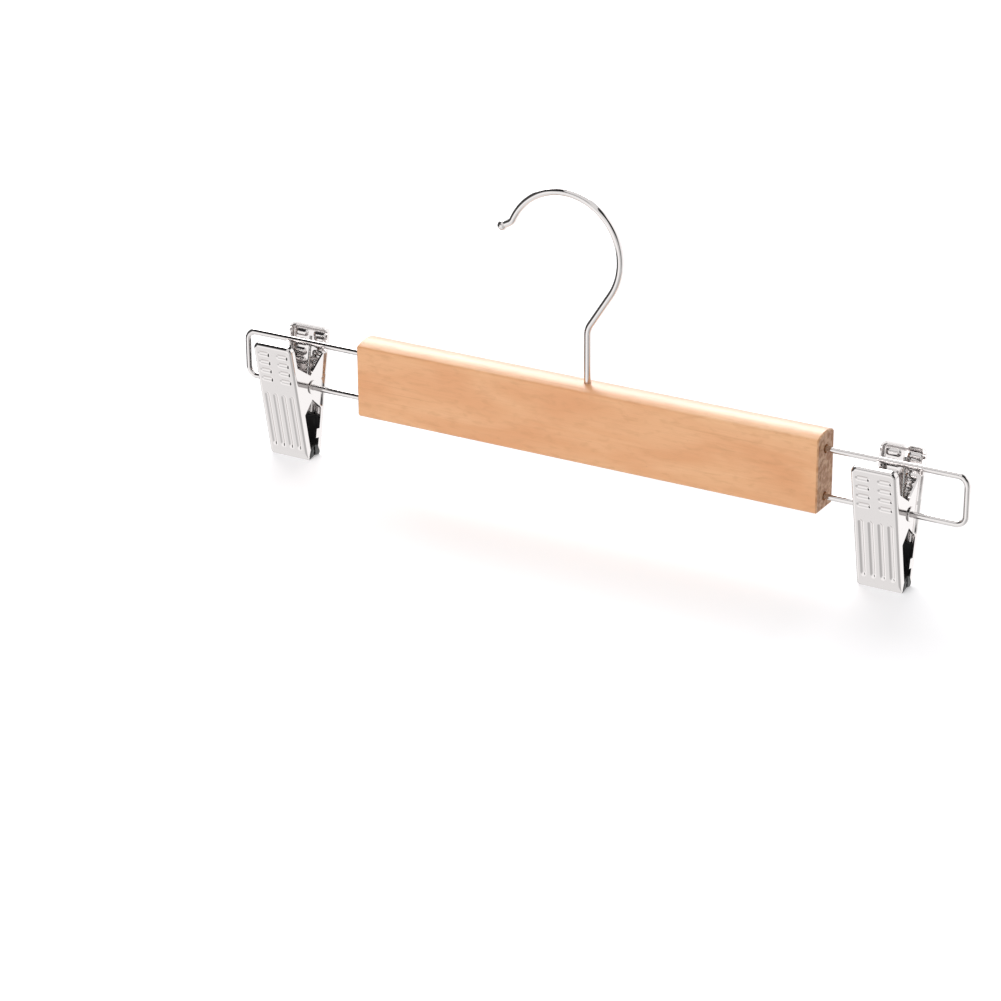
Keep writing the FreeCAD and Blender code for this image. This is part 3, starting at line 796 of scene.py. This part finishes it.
def eased_corner(before, corner, after, radius):
    """Points of a straight run to a corner, a quadratic bow in it, and a straight run away.

    The bow leaves the runs where a round of the radius would.
    """
    bow_points = 25
    into = (corner - before) / np.linalg.norm(corner - before)
    away = (after - corner) / np.linalg.norm(after - corner)
    half_turn = math.acos(np.clip(into @ away, -1, 1)) / 2
    setback = radius * math.tan(half_turn)
    share = np.linspace(0, 1, bow_points)[:, None]
    bow = (1 - share) ** 2 * -into + share ** 2 * away
    return np.concatenate([before[None], corner + setback * bow, after[None]])


def spring_line():
    """Front leg, helix and back leg.

    The coil's point at an angle is the radius turned by it, moved on along the hinge by its part of the
    pitch.
    """
    front, back = leg_end(-1), leg_end(1)
    opening = math.acos(coil_radius / math.hypot(front[1], front[2]))
    begin = math.atan2(front[2], front[1]) + opening
    finish = math.atan2(back[2], back[1]) - opening + 2 * math.pi * (coil_turns + 1)
    rise = coil_pitch / (2 * math.pi)
    angle = np.linspace(begin, finish, turn_steps * (coil_turns + 1))
    moved_on = rise * (angle - (begin + finish) / 2)
    coil = np.stack([moved_on, coil_radius * np.cos(angle), coil_radius * np.sin(angle)], axis=1)
    start_heading = (coil[1] - coil[0]) / np.linalg.norm(coil[1] - coil[0])
    end_heading = (coil[-1] - coil[-2]) / np.linalg.norm(coil[-1] - coil[-2])
    first = eased_corner(front, coil[0] - start_heading * lead, coil[0], lead_bend)
    last = eased_corner(coil[-1], coil[-1] + end_heading * lead, back, lead_bend)
    return np.concatenate([first[:-1], coil, last[1:]])


spring_steel = drawn_steel("bright_spring_steel", "#E4E3E2", roughness=0.22, grain_size=0.25)
for side in sides_of_bar:
    hinge = hinges[side + "_jaw"]
    vertices, faces = swept(hinge + spring_line() * MM, spring_wire / 2 * MM, (1, 0, 0), spring_sides)
    spring = new_mesh(side + "_torsion_spring", vertices, faces, spring_steel)
    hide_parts(side + "_clip_spring")
    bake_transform(spring)


# Studio: white paper under the closed jaws, soft lamps above, in front and behind, and three white cards.
# The bright metal mirrors the cards, the lamp behind, and a room that is set by direction: pale paper
# below, a pale wall behind, and a dark ceiling and sides.

def white_table():
    """Matt white paper that keeps its shadows and is lifted to white where it is seen.

    The lift eases from a near level to a far one with the distance from the hook's seat, in metres.
    """
    material = blank_material("white_paper")
    tree = material.node_tree
    place = add_node(tree, "ShaderNodeTexCoord", {}).outputs["Object"]
    away = add_node(tree, "ShaderNodeVectorMath", {0: place}, operation="LENGTH").outputs["Value"]
    fading = {"Value": away, "From Min": 0.35, "From Max": 0.9, "To Min": 0.36, "To Max": 1.0}
    level = add_node(tree, "ShaderNodeMapRange", fading, interpolation_type="SMOOTHSTEP").outputs[0]
    seen = add_node(tree, "ShaderNodeLightPath", {}).outputs["Is Camera Ray"]
    lift = add_node(tree, "ShaderNodeMath", {0: seen, 1: level}, operation="MULTIPLY").outputs[0]
    paper = add_node(tree, "ShaderNodeBsdfDiffuse", {"Color": linear("#EDECEE")})
    glow = add_node(tree, "ShaderNodeEmission", {"Strength": lift})
    both = add_node(tree, "ShaderNodeAddShader", {0: paper.outputs[0], 1: glow.outputs[0]})
    add_node(tree, "ShaderNodeOutputMaterial", {"Surface": both.outputs[0]})
    return material


table_gap = 0.05
table_side = 3.0
table_front = -0.5
table_back = 4.0
table_z = cad_box[0][2] - table_gap * MM
corners = [(-table_side, table_front, table_z), (table_side, table_front, table_z),
           (table_side, table_back, table_z), (-table_side, table_back, table_z)]
table = new_mesh("table", corners, [[0, 1, 2, 3]], white_table())
table.visible_glossy = False


def facing(place, aim):
    """Turn of a thing at a place whose -Z axis points to an aim: pitch up from straight down, and yaw."""
    toward = np.array(aim) - np.array(place)
    yaw = math.atan2(toward[1], toward[0]) - math.pi / 2
    pitch = math.atan2(math.hypot(toward[0], toward[1]), -toward[2])
    return (pitch, 0, yaw)


def soft_box(name, place, aim, width, height, power):
    """A rectangular lamp at a place, turned to an aim."""
    lamp = bpy.data.lights.new(name, "AREA")
    lamp.shape = "RECTANGLE"
    lamp.size = width
    lamp.size_y = height
    lamp.energy = power
    box = bpy.data.objects.new(name, lamp)
    bpy.context.scene.collection.objects.link(box)
    box.rotation_euler = facing(place, aim)
    box.location = place
    return box


hanger_middle = (0.01, 0, -0.06)
top_light = soft_box("top_light", (0.0, 0.2, 1.3), hanger_middle, width=1.6, height=1.2, power=2)
front_light = soft_box("front_light", (-0.2, -1.35, 0.7), hanger_middle, width=1.3, height=0.9, power=12)
soft_box("back_light", (-0.73, 1.07, 0.84), hanger_middle, width=1.5, height=0.75, power=18)
for lamp in (top_light, front_light):
    lamp.visible_glossy = False


def white_card(level):
    """A lit white card: plain light of a level that only mirrors see."""
    material = blank_material("white_card")
    tree = material.node_tree
    glow = add_node(tree, "ShaderNodeEmission", {"Strength": level})
    add_node(tree, "ShaderNodeOutputMaterial", {"Surface": glow.outputs[0]})
    return material


cards = {
    "side_card": [(-0.35, -0.55, -0.02), (-0.01, -0.55, -0.02), (-0.01, -0.55, 0.26), (-0.35, -0.55, 0.26)],
    "front_card": [(0.0, -0.6, 0.1), (0.47, -0.6, 0.1), (0.47, -0.6, 0.48), (0.0, -0.6, 0.48)],
    "top_card": [(-0.34, -0.7, 0.5), (0.25, -0.7, 0.5), (0.25, 0.3, 0.5), (-0.19, 0.3, 0.5)],
}
card_glow = white_card(level=0.95)
for name, corners in cards.items():
    card = new_mesh(name, corners, [[0, 1, 2, 3]], card_glow)
    card.visible_camera = False
    card.visible_diffuse = False
    card.visible_shadow = False

world = bpy.data.worlds.new("studio")
bpy.context.scene.world = world
world.use_nodes = True
world.node_tree.nodes.clear()
tree = world.node_tree
direction = add_node(tree, "ShaderNodeTexCoord", {}).outputs["Generated"]
aim = add_node(tree, "ShaderNodeSeparateXYZ", {0: direction}).outputs
# Each slope: an axis of the direction, where on it the slope starts and ends, and its level at each
slopes = {
    "paper_below": ("X", -0.72, -0.50, 1.3, 1.04),
    "paper_rise": ("Z", -0.58, -0.40, 0.0, 1.0),
    "paper_right": ("X", 0.0, 0.45, 1.0, 0.6),
    "front_rise": ("Z", 0.05, 0.42, 0.0, 1.0),
    "back_wall": ("Z", 0.70, 0.80, 1.3, 0.03),
    "far_left": ("X", -0.35, -0.15, 1.0, 0.0),
    "far_low": ("Z", -0.20, 0.0, 1.0, 0.0),
    "behind": ("Y", -0.05, 0.25, 0.0, 1.0),
    "right_end": ("X", 0.76, 0.84, 0.0, 1.0),
    "right_front": ("Y", -0.40, -0.25, 1.0, 0.0),
    "left_end": ("X", -0.76, -0.62, 1.0, 0.0),
    "above_paper": ("Z", -0.43, -0.40, 0.0, 1.0),
}
level = {}
for name, (axis, start, end, first, second) in slopes.items():
    edges = {"Value": aim[axis], "From Min": start, "From Max": end, "To Min": first, "To Max": second}
    ramp = add_node(tree, "ShaderNodeMapRange", edges, interpolation_type="SMOOTHSTEP")
    level[name] = ramp.outputs[0]
paper_ahead = 1.25
dark_ceiling = 0.03
far_floor = 0.6
dark_wall = 0.08
plain_light = 0.35
rising = {0: level["paper_rise"], 2: level["paper_below"], 3: paper_ahead}
paper = add_node(tree, "ShaderNodeMix", rising).outputs[0]
darker = {0: paper, 1: level["paper_right"]}
paper = add_node(tree, "ShaderNodeMath", darker, operation="MULTIPLY").outputs[0]
front_side = add_node(tree, "ShaderNodeMix", {0: level["front_rise"], 2: paper, 3: dark_ceiling}).outputs[0]
far_corner = {0: level["far_left"], 1: level["far_low"]}
on_floor = add_node(tree, "ShaderNodeMath", far_corner, operation="MULTIPLY").outputs[0]
back_side = add_node(tree, "ShaderNodeMix", {0: on_floor, 2: level["back_wall"], 3: far_floor}).outputs[0]
room = add_node(tree, "ShaderNodeMix", {0: level["behind"], 2: front_side, 3: back_side}).outputs[0]
right_corner = {0: level["right_end"], 1: level["right_front"]}
right_side = add_node(tree, "ShaderNodeMath", right_corner, operation="MULTIPLY").outputs[0]
aside = add_node(tree, "ShaderNodeMath", {0: level["left_end"], 1: right_side}, operation="ADD").outputs[0]
raised = {0: aside, 1: level["above_paper"]}
aside = add_node(tree, "ShaderNodeMath", raised, operation="MULTIPLY").outputs[0]
room = add_node(tree, "ShaderNodeMix", {0: aside, 2: room, 3: dark_wall}).outputs[0]
path = add_node(tree, "ShaderNodeLightPath", {}).outputs
room = add_node(tree, "ShaderNodeMath", {0: room, 1: path["Is Camera Ray"]}, operation="MAXIMUM").outputs[0]
shown = path["Is Camera Ray"]
for ray in ("Is Glossy Ray", "Is Transmission Ray"):
    shown = add_node(tree, "ShaderNodeMath", {0: shown, 1: path[ray]}, operation="MAXIMUM").outputs[0]
strength = add_node(tree, "ShaderNodeMix", {0: shown, 2: plain_light, 3: room}).outputs[0]
sky = add_node(tree, "ShaderNodeBackground", {"Color": (1, 1, 1, 1), "Strength": strength})
add_node(tree, "ShaderNodeOutputWorld", {"Surface": sky.outputs[0]})


# Camera: a long lens in front, to the right and above, as the photograph was taken.
# It stands off from the foot of the bar, moved a little to its own left and down to frame the hanger.

azimuth = math.radians(30.39)
elevation = math.radians(23.34)
roll = math.radians(-0.43)
distance = 1.2936
shift_right = -0.03402
shift_up = -0.01674
focal_pixels = 3300
picture_pixels = 1001
sensor = 36.0
nearest = 0.05
farthest = 50
level_back = math.cos(elevation)
back = np.array([math.sin(azimuth) * level_back, -math.cos(azimuth) * level_back, math.sin(elevation)])
right = np.array([math.cos(azimuth), math.sin(azimuth), 0])
up = np.cross(back, right)
right, up = right * math.cos(roll) + up * math.sin(roll), up * math.cos(roll) - right * math.sin(roll)
bar_foot = np.array([stem_x * MM, 0, bar_low.z])
lens = bpy.data.cameras.new("camera")
lens.sensor_width = sensor
lens.lens = sensor * focal_pixels / picture_pixels
lens.clip_start = nearest
lens.clip_end = farthest
camera = bpy.data.objects.new("camera", lens)
bpy.context.scene.collection.objects.link(camera)
place = np.eye(4)
place[:3, :3] = np.stack([right, up, back], axis=1)
place[:3, 3] = bar_foot + back * distance + right * shift_right + up * shift_up
camera.matrix_world = place.T
bpy.context.scene.camera = camera
bpy.context.scene.view_settings.view_transform = "Standard"
